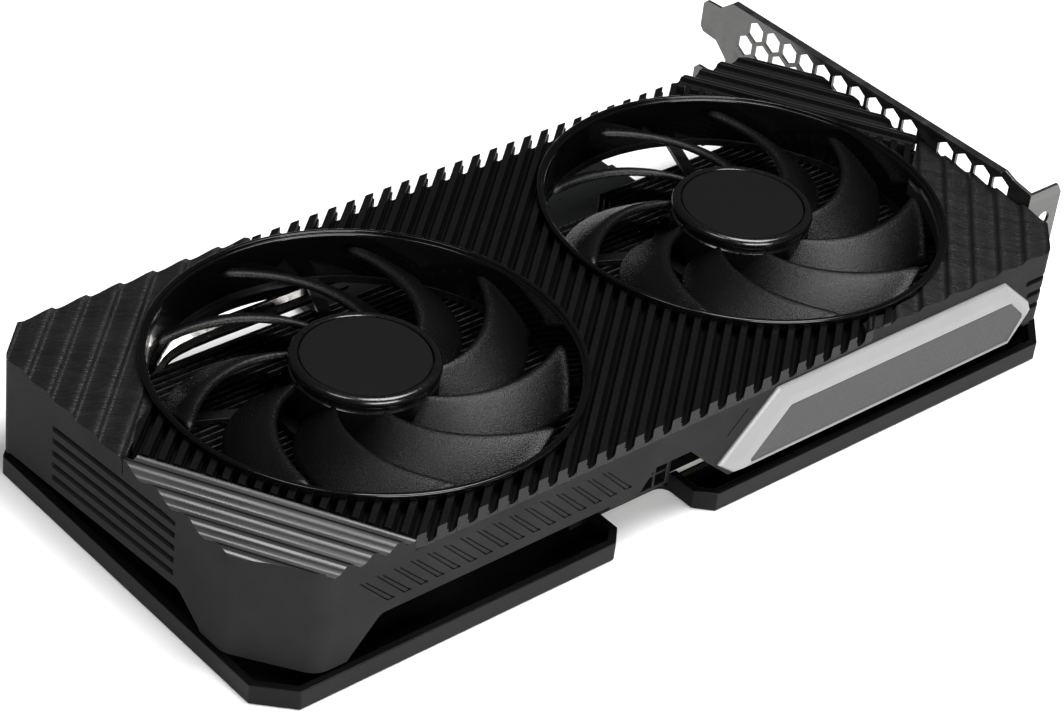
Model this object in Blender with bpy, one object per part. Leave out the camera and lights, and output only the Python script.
"""Graphics card with two axial fans, modelled as an assembly of separate pieces.

The card lies on its backplate with the fans up.  Sizes are in millimetres, measured from the
backplate's near left corner: X along the card towards the I/O bracket, Y across it towards the
edge contacts, Z up.  at() moves them to the world frame, whose origin is the bottom centre of
the whole card, and turns them into metres.
"""
from math import atan2
from math import cos
from math import degrees
from math import hypot
from math import pi
from math import radians
from math import sin
from math import tan

import bmesh
import bpy
from mathutils import Vector

MM = 0.001
GAP = 0.3

# Backplate tray
PLATE_L = 248.4
PLATE_W = 110.0
RIM_H = 5.1
RIM_T = 2.0
FLOOR_T = 1.3
CORNER = 7.8
NOTCH_X0 = 101.0
NOTCH_X1 = 124.9
NOTCH_Y = 13.8
NOTCH_CHAMFER = 4.0
NOTCH_FILLET = 3.0

# Circuit board
PCB_Z0 = FLOOR_T + GAP
PCB_T = 1.5
PCB_Z1 = PCB_Z0 + PCB_T
PCB_X0 = 96.0
PCB_X1 = 248.9
PCB_Y0 = 14.1
PCB_Y1 = 122.4
PCB_STEP_X = 206.0
PCB_STEP_Y = 112.5
EDGE_Y = 130.7
EDGE_SEGMENTS = ((119.6, 191.2), (193.1, 204.7))
HOOK_X = (112.0, 115.6)
PARTS_Z = PCB_Z1 + GAP
GPU_X = 148.0
GPU_Y = 62.0

# Cooler
PLATE_Z = 6.0
COLD_PLATE_T = 1.4
PIPE_D = 4.6
PIPE_Z = PLATE_Z + COLD_PLATE_T + GAP + PIPE_D / 2
FIN_Z0 = PIPE_Z + PIPE_D / 2 + GAP
FIN_Z1 = 19.6
FIN_PITCH = 1.96
FIN_T = 0.4
FIN_Y0 = 14.0
FIN_COUNT = 41
FIN_SHORT = 3
STACKS = (("fin_stack_left", 12.0, 12.0, 117.4), ("fin_stack_right", 129.6, 174.0, 236.0))

# Shroud
WALL_X0 = 0.9
WALL_Y0 = 1.6
SYM_X = 124.95
SYM_Y = 56.5
WALL_X1 = 2 * SYM_X - WALL_X0
WALL_Y1 = 2 * SYM_Y - WALL_Y0
TEETH_Y = 110.5
FAR_WALL_Y = 107.2
WALL_T = 1.6
SHROUD_Z0 = 5.9
SLAB_Z0 = 28.6
SLOT_Z0 = 29.6
TOP_Z = 32.8
SEAT_Z = 30.5
RIB_ANGLE = radians(40.2)
RIB_PITCH_X = 5.68
RIB_FIRST_X = 41.5
SLOT_W = 1.8
RIDGE_ANGLE = radians(120.3)
SKIRT_Z = 15.3

# Fans
FANS = (("left", 67.2), ("right", 185.85))
FAN_Y = 56.85
RING_R0 = 49.3
RING_R1 = 50.7
RING_Z1 = 34.5
MOUNT_Z0 = 19.9
MOUNT_RING_T = 2.0
STRUT_ANGLE = 66
DUCT_Z0 = MOUNT_Z0 + MOUNT_RING_T + GAP
HUB_R = 17.3
HUB_Z0 = 22.0
BLADES = 9
BLADE_R1 = 47.2
BLADE_T = 1.2

# I/O bracket
BRACKET_X1 = 250.2
BRACKET_T = 0.9
BRACKET_X0 = BRACKET_X1 - BRACKET_T
BRACKET_Z0 = 0.5
BRACKET_Z1 = 38.5
TAB_Y = 17.9
TAB_L = 11.4
TONGUE_Y = 137.9
SLOT_PITCH = 20.32
HEX_PITCH = 6.4
HEX_FLAT = 5.3
PORT_YS = (34.0, 57.0, 80.0, 103.0)
PORT_W = 17.2
PORT_Z1 = 9.6

CENTRE_X = (BRACKET_X1 + TAB_L) / 2
CENTRE_Y = TONGUE_Y / 2


# ---------------------------------------------------------------- modelling helpers

def at(x, y, z):
    """World position, in metres, of a point given in card millimetres."""
    return Vector(((x - CENTRE_X) * MM, (y - CENTRE_Y) * MM, z * MM))


def material(name, colour, roughness, metallic=0.0):
    mat = bpy.data.materials.new(name)
    mat.use_nodes = True
    shader = mat.node_tree.nodes["Principled BSDF"]
    shader.inputs["Base Color"].default_value = (*colour, 1.0)
    shader.inputs["Roughness"].default_value = roughness
    shader.inputs["Metallic"].default_value = metallic
    return mat


def from_bmesh(name, bm):
    bmesh.ops.recalc_face_normals(bm, faces=bm.faces)
    mesh = bpy.data.meshes.new(name)
    bm.to_mesh(mesh)
    bm.free()
    obj = bpy.data.objects.new(name, mesh)
    bpy.context.scene.collection.objects.link(obj)
    return obj


def solid(name, outline, low, high, axis="z"):
    """Extrude an outline along one axis; the outline's points are the other two coordinates."""
    place = {
        "z": lambda u, v, w: at(u, v, w),
        "y": lambda u, v, w: at(u, w, v),
        "x": lambda u, v, w: at(w, u, v),
    }[axis]
    bm = bmesh.new()
    lower = [bm.verts.new(place(u, v, low)) for u, v in outline]
    upper = [bm.verts.new(place(u, v, high)) for u, v in outline]
    bm.faces.new(lower)
    bm.faces.new(upper)
    for i in range(len(outline)):
        j = (i + 1) % len(outline)
        bm.faces.new((lower[i], lower[j], upper[j], upper[i]))
    return from_bmesh(name, bm)


def box(name, x0, x1, y0, y1, z0, z1):
    return solid(name, [(x0, y0), (x1, y0), (x1, y1), (x0, y1)], z0, z1)


def circle(cx, cy, r, count, start=0.0):
    steps = [start + 2 * pi * i / count for i in range(count)]
    return [(cx + r * cos(a), cy + r * sin(a)) for a in steps]


def disc(name, cx, cy, r, z0, z1, count=32):
    return solid(name, circle(cx, cy, r, count), z0, z1)


def turned(name, cx, cy, profile, count=32):
    """Turn a closed profile of (radius, height) points about a vertical axis."""
    bm = bmesh.new()
    rings = []
    for r, z in profile:
        if r == 0:
            rings.append([bm.verts.new(at(cx, cy, z))] * count)
        else:
            rings.append([bm.verts.new(at(x, y, z)) for x, y in circle(cx, cy, r, count)])
    for k in range(len(profile)):
        a = rings[k]
        b = rings[(k + 1) % len(profile)]
        for i in range(count):
            j = (i + 1) % count
            corners = list(dict.fromkeys((a[i], a[j], b[j], b[i])))
            if len(corners) > 2:
                bm.faces.new(corners)
    return from_bmesh(name, bm)


def arc(cx, cy, r, start, end, count):
    """Points along an arc, angles in degrees."""
    steps = [radians(start + (end - start) * i / count) for i in range(count + 1)]
    return [(cx + r * cos(a), cy + r * sin(a)) for a in steps]


def join(name, objects):
    """One object of several separate solids."""
    bm = bmesh.new()
    for obj in objects:
        bm.from_mesh(obj.data)
        bpy.data.objects.remove(obj)
    mesh = bpy.data.meshes.new(name)
    bm.to_mesh(mesh)
    bm.free()
    joined = bpy.data.objects.new(name, mesh)
    bpy.context.scene.collection.objects.link(joined)
    return joined


def combine(target, tool, operation):
    """Apply an exact Boolean of tool to target, and remove the tool."""
    modifier = target.modifiers.new("combine", "BOOLEAN")
    modifier.operation = operation
    modifier.solver = "EXACT"
    modifier.object = tool
    bpy.context.view_layer.update()
    graph = bpy.context.evaluated_depsgraph_get()
    mesh = bpy.data.meshes.new_from_object(target.evaluated_get(graph))
    target.modifiers.clear()
    target.data = mesh
    bpy.data.objects.remove(tool)
    return target


def cut(target, *tools):
    return combine(target, join("cutter", tools), "DIFFERENCE")


def fuse(target, *tools):
    for tool in tools:
        combine(target, tool, "UNION")
    return target


def finish(obj, name, mat, smooth_angle=30):
    obj.name = name
    obj.data.name = name
    obj.data.materials.clear()
    obj.data.materials.append(mat)
    obj.data.shade_smooth()
    obj.data.set_sharp_from_angle(angle=radians(smooth_angle))
    return obj


def origin_to(obj, point):
    """Move an object's origin to a world point without moving its surface."""
    for vertex in obj.data.vertices:
        vertex.co -= point
    obj.location = point


def turned_about(points):
    """The same outline turned half a turn about the shroud's centre of symmetry."""
    return [(2 * SYM_X - x, 2 * SYM_Y - y) for x, y in points]


# ---------------------------------------------------------------- backplate and board

def plate_outline():
    c = NOTCH_CHAMFER
    fillet = arc(NOTCH_X1 - NOTCH_FILLET, NOTCH_Y - NOTCH_FILLET, NOTCH_FILLET, 90, 0, 4)
    points = [(CORNER, 0), (NOTCH_X0 - c, 0), (NOTCH_X0, c), (NOTCH_X0, NOTCH_Y)]
    points += fillet
    points += [(NOTCH_X1, c), (NOTCH_X1 + c, 0), (PLATE_L - CORNER, 0), (PLATE_L, CORNER)]
    points += [(PLATE_L, PLATE_W - CORNER), (PLATE_L - CORNER, PLATE_W)]
    points += [(CORNER + 1, PLATE_W), (0, PLATE_W - CORNER - 1), (0, CORNER)]
    return points


def tray_cavity():
    """Inside of the rim: open at the notch, at the bracket end and along the far edge."""
    t = RIM_T
    inner = CORNER + t * tan(pi / 8)
    c = NOTCH_CHAMFER + t * tan(pi / 8)
    return [
        (inner, t), (NOTCH_X0 - c, t), (NOTCH_X0 - t, c), (NOTCH_X0 - t, NOTCH_Y - 1.5),
        (NOTCH_X1 + t, NOTCH_Y - 1.5), (NOTCH_X1 + t, c), (NOTCH_X1 + c, t),
        (PLATE_L - inner, t), (PLATE_L - t, inner), (PLATE_L - t, 12), (PLATE_L + 2, 12),
        (PLATE_L + 2, PLATE_W + 2), (PCB_X0 - 1, PLATE_W + 2), (PCB_X0 - 1, PLATE_W - t),
        (inner + 1, PLATE_W - t), (t, PLATE_W - inner - 1), (t, inner),
    ]


BOARD_SCREWS = ((100.5, 34), (100.5, 104), (238, 20), (228, 104))
COOLER_SCREWS = tuple((GPU_X + sx * 37, GPU_Y + sy * 34) for sx in (-1, 1) for sy in (-1, 1))


def backplate(mat):
    plate = solid("backplate", plate_outline(), 0, RIM_H)
    cut(plate, solid("cavity", tray_cavity(), FLOOR_T, RIM_H + 1))
    holes = []
    for x, y in BOARD_SCREWS + COOLER_SCREWS:
        holes.append(turned("hole", x, y, screw_hole_profile(), 16))
    cut(plate, *holes)
    vents = [slanted_slot(20 + 9.0 * i, 26, 58) for i in range(5)]
    cut(plate, *vents)
    return finish(plate, "backplate", mat)


def screw_hole_profile():
    """Counterbore from below, then the clearance hole through the tray floor."""
    return [(0, -1), (3.0, -1), (3.0, 0.7), (1.4, 0.7), (1.4, FLOOR_T + 1), (0, FLOOR_T + 1)]


def slanted_slot(x, y, length):
    """Cutter for one slanted vent slot through the tray floor."""
    dx = length * 0.35
    return solid("slot", [(x, y), (x + 3.2, y), (x + 3.2 + dx, y + length), (x + dx, y + length)],
                 -1, FLOOR_T + 1)


def pcb(mat):
    x_hook0, x_hook1 = HOOK_X
    (a0, a1), (b0, b1) = EDGE_SEGMENTS
    outline = [
        (PCB_X0, PCB_Y0), (PCB_X1, PCB_Y0), (PCB_X1, PCB_STEP_Y), (PCB_STEP_X, PCB_STEP_Y),
        (PCB_STEP_X, PCB_Y1), (b1, PCB_Y1), (b1, EDGE_Y),
        (b0, EDGE_Y), (b0, PCB_Y1 + 0.6), (a1, PCB_Y1 + 0.6), (a1, EDGE_Y), (a0, EDGE_Y),
        (a0, PCB_Y1), (x_hook1, PCB_Y1), (x_hook1, EDGE_Y - 3), (x_hook0 + 1.4, EDGE_Y - 1.4),
        (x_hook0, EDGE_Y - 3), (x_hook0, PCB_Y1), (PCB_X0, PCB_Y1),
    ]
    board = solid("pcb", outline, PCB_Z0, PCB_Z1)
    holes = [disc("hole", x, y, 1.4, PCB_Z0 - 1, PCB_Z1 + 1, 12) for x, y in
             BOARD_SCREWS + COOLER_SCREWS]
    cut(board, *holes)
    return finish(board, "pcb", mat)


def chip(name, mat, x, y, width, depth, height, z0=PARTS_Z):
    body = box("chip", x - width / 2, x + width / 2, y - depth / 2, y + depth / 2, z0, z0 + height)
    return finish(body, name, mat)


def power_connector(mat):
    """Right-angle plug socket with two rows of four wells, which open towards the near side."""
    x0, x1 = 105.2, 123.8
    z1 = FIN_Z0 - 0.4
    body = box("body", x0, x1, 11.2, 26.0, PARTS_Z, z1)
    wells = []
    for column in range(4):
        for row in range(2):
            x = x0 + 1.3 + 4.2 * column
            z = PARTS_Z + 0.9 + 3.9 * row
            wells.append(box("well", x, x + 3.4, 10.0, 21.0, z, z + 3.1))
    cut(body, *wells)
    return finish(body, "power_connector", mat)


# ---------------------------------------------------------------- cooler

def fin_comb(first, last):
    """Outline across the fins from one fin to another: fins standing on a base sheet."""
    base_z = FIN_Z0 + 0.5
    outline = [(FIN_Y0 + FIN_PITCH * last + FIN_T, FIN_Z0), (FIN_Y0 + FIN_PITCH * first, FIN_Z0)]
    for i in range(first, last + 1):
        y = FIN_Y0 + FIN_PITCH * i
        if i > first:
            outline.append((y, base_z))
        outline += [(y, FIN_Z1), (y + FIN_T, FIN_Z1)]
        if i < last:
            outline.append((y + FIN_T, base_z))
    return outline


def fin_stack(name, x0, x0_short, x1, mat):
    """Thin fins on one base sheet; the last few start further along the card."""
    if x0_short == x0:
        stack = solid(name, fin_comb(0, FIN_COUNT - 1), x0, x1, "x")
    else:
        count = FIN_COUNT + 1
        stack = solid(name, fin_comb(0, count - 1), x0, x1, "x")
        y = FIN_Y0 + FIN_PITCH * (count - FIN_SHORT) - FIN_PITCH / 2
        cut(stack, box("corner", x0 - 1, x0_short, y, y + 20, 0, 40))
    return finish(stack, name, mat)


def smooth_path(points, per_span):
    """Points on a Catmull-Rom curve through the given points."""
    ends = [points[0] * 2 - points[1]] + list(points) + [points[-1] * 2 - points[-2]]
    path = []
    for i in range(1, len(ends) - 2):
        a, b, c, d = ends[i - 1:i + 3]
        for k in range(per_span):
            t = k / per_span
            path.append(0.5 * ((2 * b) + (c - a) * t + (2 * a - 5 * b + 4 * c - d) * t * t
                               + (3 * b - a - 3 * c + d) * t * t * t))
    path.append(points[-1])
    return path


def tube(name, points, diameter, mat, per_span=4, resolution=2):
    """Round solid tube along a smooth path, made from a bevelled curve."""
    path = smooth_path([at(*p) for p in points], per_span)
    curve = bpy.data.curves.new(name, "CURVE")
    curve.dimensions = "3D"
    curve.bevel_depth = diameter / 2 * MM
    curve.bevel_resolution = resolution
    curve.use_fill_caps = True
    spline = curve.splines.new("POLY")
    spline.points.add(len(path) - 1)
    for point, co in zip(spline.points, path):
        point.co = (*co, 1)
    obj = bpy.data.objects.new(name, curve)
    bpy.context.scene.collection.objects.link(obj)
    curve.materials.append(mat)
    return obj


def heat_pipe(name, mat, y_end, y_mid, start=((20, 0, 0), (60, 0, 0))):
    """Pipe under the fins, which passes over the cold plate; start is relative to its end run."""
    x_gpu0 = GPU_X - 30
    x_gpu1 = GPU_X + 30
    points = [(x, y_end + dy, PIPE_Z + dz) for x, dy, dz in start]
    points += [(90, (y_end + y_mid) / 2, PIPE_Z), (x_gpu0, y_mid, PIPE_Z), (x_gpu1, y_mid, PIPE_Z),
               (198, (y_end + y_mid) / 2, PIPE_Z), (222, y_end, PIPE_Z)]
    return tube(name, points, PIPE_D, mat, 3, 2)


# ---------------------------------------------------------------- shroud

def shroud_outline(y_far):
    """Shroud in plan; y_far is its far edge between the two corner covers."""
    left = [(WALL_X0, 101.8), (WALL_X0, 18.7), (13.2, WALL_Y0)]
    right = turned_about(left)
    far_left = [(84.0, y_far), (79.0, WALL_Y1), (10.5, WALL_Y1)]
    near_right = [(2 * SYM_X - 10.5, WALL_Y0)]
    far_right = [(213.0, WALL_Y1), (209.0, y_far)]
    return left + near_right + right + far_right + far_left


def ridge_side(x, y, margin):
    """True on the corner side of the ridged cover's inner edge."""
    dx = x - 36.8
    dy = y - 2.4
    return -dx * sin(RIDGE_ANGLE) + dy * cos(RIDGE_ANGLE) > -margin


def pleat_side(x, y, margin):
    """True on the corner side of the pleated cover's inner edge."""
    dx = x - 1.9
    dy = y - 57.6
    beyond = -dx * sin(RIB_ANGLE) + dy * cos(RIB_ANGLE) > -margin
    return beyond and x < 74 + margin


def rib_field(x, y):
    """True where the top is slotted: outside the fan rings and the corner covers."""
    for _, fan_x in FANS:
        if hypot(x - fan_x, y - FAN_Y) < RING_R1 + 0.8:
            return False
    for px, py in ((x, y), (2 * SYM_X - x, 2 * SYM_Y - y)):
        if ridge_side(px, py, 1.4) or pleat_side(px, py, 1.4):
            return False
    return True


def rib_slots():
    """Cutters for the diagonal slots, one for each stretch of a slot line in the rib field."""
    slots = []
    step = 0.25
    y_start = WALL_Y0 - 1.0
    steps = int((TEETH_Y + 1.5 - y_start) / sin(RIB_ANGLE) / step)
    for k in range(-24, 34):
        x_start = RIB_FIRST_X + RIB_PITCH_X * k - (WALL_Y0 - y_start) / tan(RIB_ANGLE)
        run = None
        for i in range(steps + 2):
            x = x_start + i * step * cos(RIB_ANGLE)
            y = y_start + i * step * sin(RIB_ANGLE)
            inside = i <= steps and WALL_X0 + 3 < x < WALL_X1 - 3 and rib_field(x, y)
            if inside and run is None:
                run = (x, y)
            if run is not None and not inside:
                if hypot(x - run[0], y - run[1]) > 4:
                    slots.append(slot_box(run, (x, y)))
                run = None
    return slots


def slot_box(start, end):
    nx = -sin(RIB_ANGLE) * SLOT_W / 2
    ny = cos(RIB_ANGLE) * SLOT_W / 2
    (x0, y0), (x1, y1) = start, end
    outline = [(x0 - nx, y0 - ny), (x1 - nx, y1 - ny), (x1 + nx, y1 + ny), (x0 + nx, y0 + ny)]
    return solid("slot", outline, SLOT_Z0, RING_Z1)


def shroud_cutouts():
    """Openings in the four walls."""
    near = [(20.0, 4), (20.2, SHROUD_Z0), (29.4, SKIRT_Z), (104.0, SKIRT_Z), (108.0, 20.7),
            (119.0, 20.7), (124.6, SKIRT_Z), (133.0, 8.0), (229.5, 8.0), (233.0, 12.0),
            (WALL_X1 + 1, 12.0), (WALL_X1 + 1, 4)]
    left = [(27.0, 4), (27.2, 7.0), (35.0, 12.0), (100.0, 6.6), (103.0, SHROUD_Z0), (103.0, 4)]
    far = [(16, 4), (16, 16), (150, 16), (156, 22), (213, 22), (222, 12.5), (252, 12.5), (252, 4)]
    right = [(13.5, 4), (13.5, 27), (100, 27), (100, 12.5), (115, 12.5), (115, 4)]
    tools = [solid("near", near, -2, 5, "y"), solid("left", left, -2, 5, "x")]
    tools.append(solid("far", far, 104, 114, "y"))
    tools.append(solid("right", right, 243, 252, "x"))
    return tools


def louvres():
    """Five long vent slots in the left wall, dropping slightly towards the far side."""
    slots = []
    for i in range(5):
        z = 29.2 - 3.37 * i
        drop = 4.0
        outline = [(37, z), (83, z - drop), (83, z - drop - 1.5), (37, z - 1.5)]
        slots.append(solid("louvre", outline, -2, 4, "x"))
    return slots


def end_slots():
    """Three short slots at the bracket end of the near wall."""
    slots = []
    for i in range(3):
        z = 23.9 - 4.0 * i
        slots.append(box("end_slot", 232 + 1.6 * i, 239, 0, 4, z, z + 1.5))
    return slots


def shroud(mat):
    body = solid("shroud", shroud_outline(TEETH_Y), SHROUD_Z0, TOP_Z)
    t = WALL_T
    inner_left = [(WALL_X0 + t, 101.0), (WALL_X0 + t, 19.3), (14.0, WALL_Y0 + t)]
    inner = inner_left + [(2 * SYM_X - 11.4, WALL_Y0 + t)]
    inner += [(WALL_X1 - t, 12.2), (WALL_X1 - t, 93.2), (242, FAR_WALL_Y - t)]
    inner += [(8.0, FAR_WALL_Y - t)]
    cut(body, solid("cavity", inner, 0, SLAB_Z0))
    shelf = [(85.5, FAR_WALL_Y), (207.5, FAR_WALL_Y), (207.5, 120), (85.5, 120)]
    cut(body, solid("shelf", shelf, 0, SLAB_Z0))
    for _, x in FANS:
        cut(body, disc("bore", x, FAN_Y, (RING_R0 + RING_R1) / 2, 0, 40, 72))
        cut(body, disc("seat", x, FAN_Y, RING_R1 + GAP, 0, DUCT_Z0, 72))
    duct = [(RING_R0, DUCT_Z0), (RING_R1, DUCT_Z0), (RING_R1, RING_Z1), (RING_R0, RING_Z1)]
    for _, x in FANS:
        fuse(body, turned("duct", x, FAN_Y, duct, 72))
    cut(body, *rib_slots())
    cut(body, *shroud_cutouts())
    cut(body, *louvres())
    cut(body, *end_slots())
    seats = [solid("seat", outline, SEAT_Z, TOP_Z + 1) for outline in cover_seats()]
    for seat in seats:
        cut(body, seat)
    return finish(body, "shroud", mat)


# ---------------------------------------------------------------- corner covers

def ridge_outline(grow):
    """Ridged cover in plan, grown by a clearance."""
    g = grow
    return [(2.5 - g, 19.4 - g / 2), (14.2 - g / 2, 3.1 - g), (36.4 + g, 3.1 - g),
            (5.1 + g, 56.4 + g), (2.5 - g, 54.0 + g)]


def pleat_outline(grow):
    """Pleated cover in plan, grown by a clearance; its inner edge follows the left fan ring."""
    g = grow
    fan_x = FANS[0][1]
    r = RING_R1 + 0.8 - g
    start = degrees(atan2(69.9 - FAN_Y - g / 2, 17.5 - fan_x))
    ring = arc(fan_x, FAN_Y, r, start, 84.0 - 0.3 * g, 20)
    return [(2.5 - g, 101.2 + g / 2), (2.5 - g, 58.6 - 1.4 * g)] + ring + [
        (74.6 + g, 110.2 + g), (11.2 - g / 2, 110.2 + g)]


def cover_seats():
    outlines = []
    for outline in (ridge_outline(GAP), pleat_outline(GAP)):
        outlines.append(outline)
        outlines.append(turned_about(outline))
    return outlines


def wave_slab(name, direction, pitch, low, high, profile):
    """Slab whose top repeats a profile across a direction; it is wider than any cover."""
    nx = sin(direction)
    ny = -cos(direction)
    reach = 90.0
    bm = bmesh.new()
    bands = int(2 * reach / pitch)
    section = []
    for i in range(bands):
        for u, h in profile:
            section.append((-reach + (i + u) * pitch, low + (high - low) * h))
    section.append((-reach + bands * pitch, low + (high - low) * profile[0][1]))
    ends = []
    for s in (-reach, reach):
        line = []
        for u, z in section + [(section[-1][0], SEAT_Z + GAP), (section[0][0], SEAT_Z + GAP)]:
            x = 40.0 + u * nx + s * cos(direction)
            y = 60.0 + u * ny + s * sin(direction)
            line.append(bm.verts.new(at(x, y, z)))
        ends.append(line)
    count = len(ends[0])
    bm.faces.new(ends[0])
    bm.faces.new(ends[1])
    for i in range(count):
        j = (i + 1) % count
        bm.faces.new((ends[0][i], ends[0][j], ends[1][j], ends[1][i]))
    return from_bmesh(name, bm)


def half_turn(obj):
    """Turn a mesh half a turn about the shroud's centre of symmetry."""
    centre = at(SYM_X, SYM_Y, 0)
    for vertex in obj.data.vertices:
        vertex.co.x = 2 * centre.x - vertex.co.x
        vertex.co.y = 2 * centre.y - vertex.co.y


def corner_covers(ridged_mat, pleated_mat):
    ridge_profile = ((0.0, 0.0), (0.25, 0.1), (0.55, 0.85), (0.72, 1.0), (0.88, 0.8))
    pleat_profile = ((0.0, 0.0), (0.7, 1.0), (0.92, 0.85))
    plans = (
        ("ridged", ridge_outline(0), RIDGE_ANGLE, 5.7, 31.7, 33.5, ridge_profile, ridged_mat),
        ("pleated", pleat_outline(0), RIB_ANGLE + radians(4), 6.5, 31.9, 32.9, pleat_profile,
         pleated_mat),
    )
    names = {"ridged": ("cover_near_left", "cover_far_right"),
             "pleated": ("cover_far_left", "cover_near_right")}
    for kind, outline, direction, pitch, low, high, profile, mat in plans:
        for turn in (False, True):
            cover = wave_slab(kind, direction, pitch, low, high, profile)
            blank = solid("blank", outline, SEAT_Z + GAP, TOP_Z + 2)
            combine(cover, blank, "INTERSECT")
            if turn:
                half_turn(cover)
            finish(cover, names[kind][turn], mat)


# ---------------------------------------------------------------- badge

def badge(frame_mat, panel_mat):
    border = [(128.6, 12.8), (133.7, 8.9), (228.0, 9.0), (235.4, 17.0), (234.1, 19.6),
              (223.5, 28.7), (145.0, 28.6)]
    pocket = [(138.0, 9.9), (228.6, 10.0), (232.4, 16.2), (226.6, 22.3), (149.8, 22.4)]
    inlay = [(138.8, 10.3), (228.3, 10.4), (231.9, 16.2), (226.4, 21.9), (150.0, 22.0)]
    frame = solid("border", border, 0.1, WALL_Y0 - GAP, "y")
    cut(frame, solid("pocket", pocket, -1, 0.85, "y"))
    finish(frame, "badge_frame", frame_mat)
    finish(solid("inlay", inlay, 0.15, 0.55, "y"), "badge_panel", panel_mat)


# ---------------------------------------------------------------- fans

def blade(index, fan_x):
    """One blade: swept forward, high at its leading edge and low at its trailing edge."""
    radial = 6
    chordwise = 5
    root = HUB_R - 0.7
    turn = radians(360 / BLADES * index + 10)
    top = []
    for i in range(radial + 1):
        s = i / radial
        r = root + (BLADE_R1 - root) * s
        lead = turn + radians(1.62 * (r - root))
        chord = radians(27 + 4 * sin(pi * s) - 5 * s * s)
        z_lead = 31.6 + 1.3 * sin(pi * s * 0.6)
        z_trail = 24.3 + 0.9 * s
        row = []
        for j in range(chordwise + 1):
            c = j / chordwise
            angle = lead - chord * c
            z = z_lead + (z_trail - z_lead) * (1 - (1 - c) ** 1.25)
            row.append((fan_x + r * cos(angle), FAN_Y + r * sin(angle), z))
        top.append(row)
    bm = bmesh.new()
    upper = [[bm.verts.new(at(x, y, z)) for x, y, z in row] for row in top]
    lower = [[bm.verts.new(at(x, y, z - BLADE_T)) for x, y, z in row] for row in top]
    for i in range(radial):
        for j in range(chordwise):
            for grid in (upper, lower):
                bm.faces.new((grid[i][j], grid[i + 1][j], grid[i + 1][j + 1], grid[i][j + 1]))
    rim = [(i, 0) for i in range(radial)] + [(radial, j) for j in range(chordwise)]
    rim += [(i, chordwise) for i in range(radial, 0, -1)] + [(0, j) for j in range(chordwise, 0, -1)]
    for (i0, j0), (i1, j1) in zip(rim, rim[1:] + rim[:1]):
        bm.faces.new((upper[i0][j0], upper[i1][j1], lower[i1][j1], lower[i0][j0]))
    return from_bmesh("blade", bm)


def rotor(side, fan_x, mat):
    cup = [(0, 33.4), (15.6, 33.4), (15.6, 34.4), (16.4, 34.3), (HUB_R, 33.2), (HUB_R, HUB_Z0),
           (15.9, HUB_Z0), (15.9, 31.9), (0, 31.9)]
    body = turned("rotor", fan_x, FAN_Y, cup, 45)
    for index in range(BLADES):
        fuse(body, blade(index, fan_x))
    finish(body, "rotor_" + side, mat, 40)
    origin_to(body, at(fan_x, FAN_Y, 0))


def motor_mount(side, fan_x, mat):
    """Ring under the duct, four struts and a hub plate with the bearing boss."""
    z0 = MOUNT_Z0
    ring = [(RING_R0, z0), (RING_R1, z0), (RING_R1, z0 + MOUNT_RING_T), (RING_R0, z0 + MOUNT_RING_T)]
    boss = [(0, z0), (20.5, z0), (20.5, z0 + 1.5), (4.3, z0 + 1.5), (4.3, 28.0), (3.3, 28.0),
            (3.3, z0 + 1.0), (0, z0 + 1.0)]
    mount = turned("mount", fan_x, FAN_Y, boss, 32)
    for k in range(4):
        angle = radians(STRUT_ANGLE + 90 * k)
        dx, dy = cos(angle), sin(angle)
        w = 1.6
        strut = [(fan_x + 19 * dx - w * dy, FAN_Y + 19 * dy + w * dx),
                 (fan_x + 19 * dx + w * dy, FAN_Y + 19 * dy - w * dx),
                 (fan_x + 50.0 * dx + w * dy, FAN_Y + 50.0 * dy - w * dx),
                 (fan_x + 50.0 * dx - w * dy, FAN_Y + 50.0 * dy + w * dx)]
        fuse(mount, solid("strut", strut, z0 + 0.1, z0 + 1.4))
    fuse(mount, turned("ring", fan_x, FAN_Y, ring, 60))
    recess = [(0, 20.6), (1.7, 20.6), (1.7, 22.5), (0, 22.5)]
    cut(mount, *[turned("recess", x, y, recess, 12) for x, y in fan_screw_points(fan_x)])
    finish(mount, "motor_mount_" + side, mat)


def fan_screw_points(fan_x):
    return circle(fan_x, FAN_Y, 18.6, 3, radians(80))


def stator(side, fan_x, mat):
    """Laminated core with four winding slots."""
    core = turned("core", fan_x, FAN_Y, [(4.6, 22.6), (13.2, 22.6), (13.2, 29.6), (4.6, 29.6)], 32)
    slots = []
    for k in range(4):
        angle = radians(45 + 90 * k)
        outline = []
        for along, across in ((7, -1.2), (15, -1.2), (15, 1.2), (7, 1.2)):
            outline.append((fan_x + along * cos(angle) - across * sin(angle),
                            FAN_Y + along * sin(angle) + across * cos(angle)))
        slots.append(solid("slot", outline, 21, 31))
    cut(core, *slots)
    finish(core, "stator_" + side, mat)


def fan(side, fan_x, mats):
    rotor(side, fan_x, mats["fan"])
    motor_mount(side, fan_x, mats["frame"])
    stator(side, fan_x, mats["copper"])
    cap = disc("cap", fan_x, FAN_Y, 15.2, 33.7, 34.2, 45)
    finish(cap, "hub_cap_" + side, mats["label"])
    magnet = [(14.0, 22.5), (15.6, 22.5), (15.6, 31.0), (14.0, 31.0)]
    finish(turned("magnet", fan_x, FAN_Y, magnet, 32), "magnet_ring_" + side, mats["ferrite"])
    finish(disc("shaft", fan_x, FAN_Y, 1.2, 21.4, 31.6, 16), "shaft_" + side, mats["steel"])
    bearing = [(1.55, 21.2), (3.0, 21.2), (3.0, 28.2), (1.55, 28.2)]
    finish(turned("bearing", fan_x, FAN_Y, bearing, 20), "bearing_" + side, mats["brass"])
    for name in ("hub_cap_", "magnet_ring_", "shaft_"):
        origin_to(bpy.data.objects[name + side], at(fan_x, FAN_Y, 0))


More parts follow.
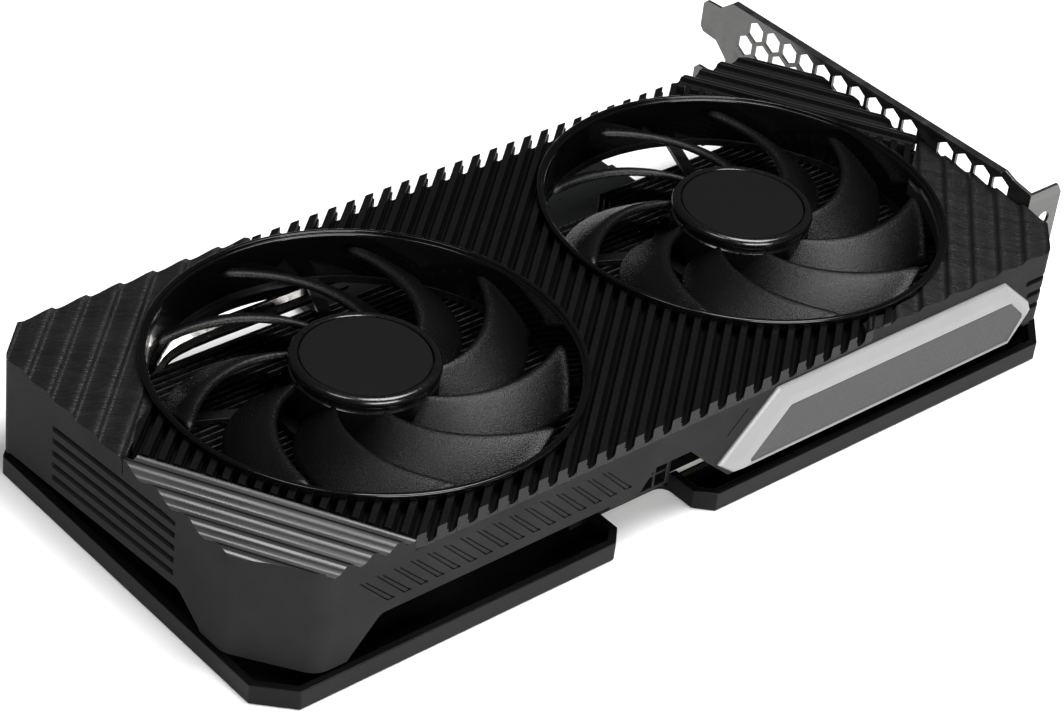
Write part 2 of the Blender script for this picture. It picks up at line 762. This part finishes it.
def fan_wiring(mats):
    """Cables from the motor mounts, over the heat pipes between the fins, to the board header."""
    left_x = FANS[0][1] + RING_R1 + GAP
    right_x = FANS[1][1] - RING_R1 - GAP
    run = ((72, 16.0), (88, 15.0), (96.5, 13.4), (99.6, 10.4), (100, 8.8))
    left = [(left_x, FAN_Y, 20.9), (120.4, 57.1, 20.6), (122.2, 60, 17.5)]
    left += [(122.6, y, z) for y, z in run]
    right = [(right_x, FAN_Y, 20.9), (131.0, 56.9, 21.0), (127.8, 58.4, 19.8), (126.5, 61.5, 17.0)]
    right += [(126.4, y, z) for y, z in run]
    tube("fan_cable_left", left, 1.6, mats["cable"], 3, 2)
    tube("fan_cable_right", right, 1.6, mats["cable"], 3, 2)
    for side, x in (("left", 122.6), ("right", 126.4)):
        plug = box("plug", x - 1.7, x + 1.7, 97.8, 102.2, 5.3, 8.5)
        finish(plug, "fan_plug_" + side, mats["connector"])
    header = box("header", 120.7, 128.3, 97.4, 102.6, PARTS_Z, 5.0)
    finish(header, "fan_header", mats["pale"])


# ---------------------------------------------------------------- bracket and connectors

def bracket_outline():
    """Bracket sheet in the YZ plane, with one slot tongue for each card slot."""
    points = [(TAB_Y, 2.5), (24.0, BRACKET_Z0), (127.2, BRACKET_Z0)]
    for slot in range(2):
        z = SLOT_PITCH * slot
        points += [(131.4, 3.6 + z), (TONGUE_Y - 1.2, 3.9 + z), (TONGUE_Y, 5.2 + z),
                   (TONGUE_Y, 12.2 + z), (TONGUE_Y - 1.2, 13.5 + z), (131.4, 13.8 + z)]
        points += [(126.9, 18.6), (126.9, 20.1)] if slot == 0 else []
    points += [(127.2, 37.6), (126.2, BRACKET_Z1), (27.2, BRACKET_Z1), (23.9, 37.2)]
    points += [(TAB_Y, 36.2)]
    return points


def honeycomb():
    """Hexagonal vent holes of the upper card slot, in staggered rows."""
    holes = []
    for row in range(3):
        z = 33.2 - HEX_PITCH * sin(pi / 3) * row
        for k in range(15):
            y = 117.6 - HEX_PITCH * (k - 0.5 * (row % 2))
            if y < 26 or (row == 0 and k == 10):
                continue
            ring = [(y + HEX_FLAT / 2 / cos(pi / 6) * sin(pi / 3 * i),
                     z + HEX_FLAT / 2 / cos(pi / 6) * cos(pi / 3 * i)) for i in range(6)]
            holes.append(solid("hex", ring, BRACKET_X0 - 1, BRACKET_X1 + 1, "x"))
    return holes


def io_bracket(mat):
    sheet = solid("sheet", bracket_outline(), BRACKET_X0, BRACKET_X1, "x")
    ports = []
    for y in PORT_YS:
        half = PORT_W / 2 + GAP
        ports.append(box("port", BRACKET_X0 - 1, BRACKET_X1 + 1, y - half, y + half,
                         PARTS_Z - GAP, PORT_Z1 + GAP))
    cut(sheet, *ports)
    cut(sheet, *honeycomb())
    x_end = BRACKET_X1 + TAB_L
    tab = [(BRACKET_X0, 2.5), (x_end - 3, 2.5), (x_end, 5.5), (x_end, 33.4), (x_end - 1.8, 36.2),
           (BRACKET_X0, 36.2)]
    fuse(sheet, solid("tab", tab, TAB_Y, TAB_Y + BRACKET_T, "y"))
    lip = [(27.4, BRACKET_Z1), (27.4, BRACKET_Z1 - 0.8), (126.0, BRACKET_Z1 - 0.8),
           (126.0, BRACKET_Z1)]
    fuse(sheet, solid("lip", lip, BRACKET_X0 - 1.5, BRACKET_X1 - 0.4, "x"))
    screw_x = BRACKET_X1 + 6.35
    notches = [solid("hole", circle(screw_x, 6.3 + SLOT_PITCH, 2.2, 20), TAB_Y - 2, TAB_Y + 3, "y")]
    slot = arc(screw_x, 6.3, 2.2, 0, 180, 10) + [(screw_x - 2.2, 1), (screw_x + 2.2, 1)]
    notches.append(solid("notch", slot, TAB_Y - 2, TAB_Y + 3, "y"))
    cut(sheet, *notches)
    return finish(sheet, "io_bracket", mat)


def port_shell(y, depth):
    """Metal-shelled socket that opens through the bracket."""
    half = PORT_W / 2
    x1 = BRACKET_X1 - 0.1
    shell = box("shell", x1 - depth, x1, y - half, y + half, PARTS_Z, PORT_Z1)
    return cut(shell, box("socket", x1 - 12, x1 + 1, y - half + 1.2, y + half - 1.2,
                          PARTS_Z + 0.75, PORT_Z1 - 0.75))


def video_ports(mat):
    for index, y in enumerate(PORT_YS[:3]):
        finish(port_shell(y, 20), "video_port_" + str(index + 1), mat)
    finish(port_shell(PORT_YS[3], 14), "av_port", mat)


# ---------------------------------------------------------------- fasteners

def fasteners(mats):
    """Screws from below, with their heads in the tray's counterbores."""
    profile = [(0, 0.1), (2.6, 0.1), (2.6, 0.4), (1.05, 0.4), (1.05, 5.4), (0, 5.4)]
    sets = (("board_screw_", BOARD_SCREWS), ("cooler_screw_", COOLER_SCREWS))
    for name, points in sets:
        for index, (x, y) in enumerate(points):
            screw = turned("screw", x, y, profile, 12)
            finish(screw, name + str(index + 1), mats["steel"])


# ---------------------------------------------------------------- whole card

def palette():
    return {
        "tray": material("tray_black", (0.012, 0.012, 0.013), 0.28),
        "board": material("board_black", (0.015, 0.017, 0.018), 0.45),
        "chip": material("chip_black", (0.03, 0.03, 0.032), 0.5),
        "silicon": material("silicon", (0.18, 0.18, 0.2), 0.15, 0.6),
        "pad": material("thermal_pad", (0.35, 0.38, 0.42), 0.9),
        "choke": material("choke_grey", (0.16, 0.16, 0.16), 0.6),
        "connector": material("connector_black", (0.02, 0.02, 0.02), 0.5),
        "pale": material("connector_pale", (0.75, 0.73, 0.68), 0.5),
        "nickel": material("nickel", (0.62, 0.6, 0.57), 0.3, 1.0),
        "fin": material("fin_aluminium", (0.72, 0.73, 0.74), 0.35, 1.0),
        "shroud": material("shroud_black", (0.022, 0.022, 0.024), 0.4),
        "ridged": material("cover_satin", (0.09, 0.09, 0.092), 0.3, 0.7),
        "pleated": material("cover_brushed", (0.03, 0.03, 0.031), 0.5, 0.2),
        "silver": material("badge_silver", (0.72, 0.72, 0.73), 0.3, 0.6),
        "inlay": material("badge_grey", (0.3, 0.3, 0.31), 0.45),
        "fan": material("fan_black", (0.014, 0.014, 0.015), 0.42),
        "frame": material("frame_black", (0.02, 0.02, 0.02), 0.5),
        "label": material("label_black", (0.05, 0.05, 0.052), 0.6),
        "copper": material("winding_copper", (0.6, 0.28, 0.12), 0.4, 1.0),
        "ferrite": material("ferrite", (0.06, 0.06, 0.06), 0.6),
        "brass": material("brass", (0.7, 0.53, 0.25), 0.35, 1.0),
        "steel": material("steel", (0.58, 0.58, 0.58), 0.3, 1.0),
        "bracket": material("bracket_steel", (0.5, 0.5, 0.5), 0.35, 1.0),
        "cable": material("cable_black", (0.02, 0.02, 0.02), 0.6),
    }


def board_parts(mats):
    pcb(mats["board"])
    chip("gpu_package", mats["chip"], GPU_X, GPU_Y, 34, 34, 1.0)
    chip("gpu_die", mats["silicon"], GPU_X, GPU_Y, 16, 11, 0.7, PARTS_Z + 1.0 + GAP)
    count = 0
    for side, sx in (("left", -1), ("right", 1)):
        x = GPU_X + 27 * sx
        for sy in (-1, 1):
            count += 1
            chip("memory_chip_" + str(count), mats["chip"], x, GPU_Y + 9 * sy, 12, 14, 1.1)
        chip("thermal_pad_" + side, mats["pad"], x, GPU_Y, 11, 31, 0.6, PARTS_Z + 1.1 + GAP)
    for i in range(4):
        chip("choke_" + str(i + 1), mats["choke"], 202, 36 + 14 * i, 8, 8, 4.0)
    power_connector(mats["connector"])


def cooler(mats):
    plate = box("plate", GPU_X - 33.5, GPU_X + 33.5, GPU_Y - 33.5, GPU_Y + 33.5,
                PLATE_Z, PLATE_Z + COLD_PLATE_T)
    finish(plate, "cold_plate", mats["nickel"])
    heat_pipe("heat_pipe_near", mats["nickel"], 34, 52)
    heat_pipe("heat_pipe_middle", mats["nickel"], 60, 62)
    bend = ((98, 15.5, 6.6), (74, 15.5, 6.6), (52, 15.5, 6.6), (43, 14.5, 5.2), (38.6, 11.5, 1.6),
            (41, 6, -0.1), (47, 1.5, 0), (56, 0, 0), (68, -1, 0))
    heat_pipe("heat_pipe_far", mats["nickel"], 87, 72, bend)
    for name, x0, x0_short, x1 in STACKS:
        fin_stack(name, x0, x0_short, x1, mats["fin"])


def main():
    for obj in list(bpy.data.objects):
        bpy.data.objects.remove(obj)
    mats = palette()
    backplate(mats["tray"])
    board_parts(mats)
    cooler(mats)
    shroud(mats["shroud"])
    corner_covers(mats["ridged"], mats["pleated"])
    badge(mats["silver"], mats["inlay"])
    for side, fan_x in FANS:
        fan(side, fan_x, mats)
    fan_wiring(mats)
    io_bracket(mats["bracket"])
    video_ports(mats["nickel"])
    fasteners(mats)


main()
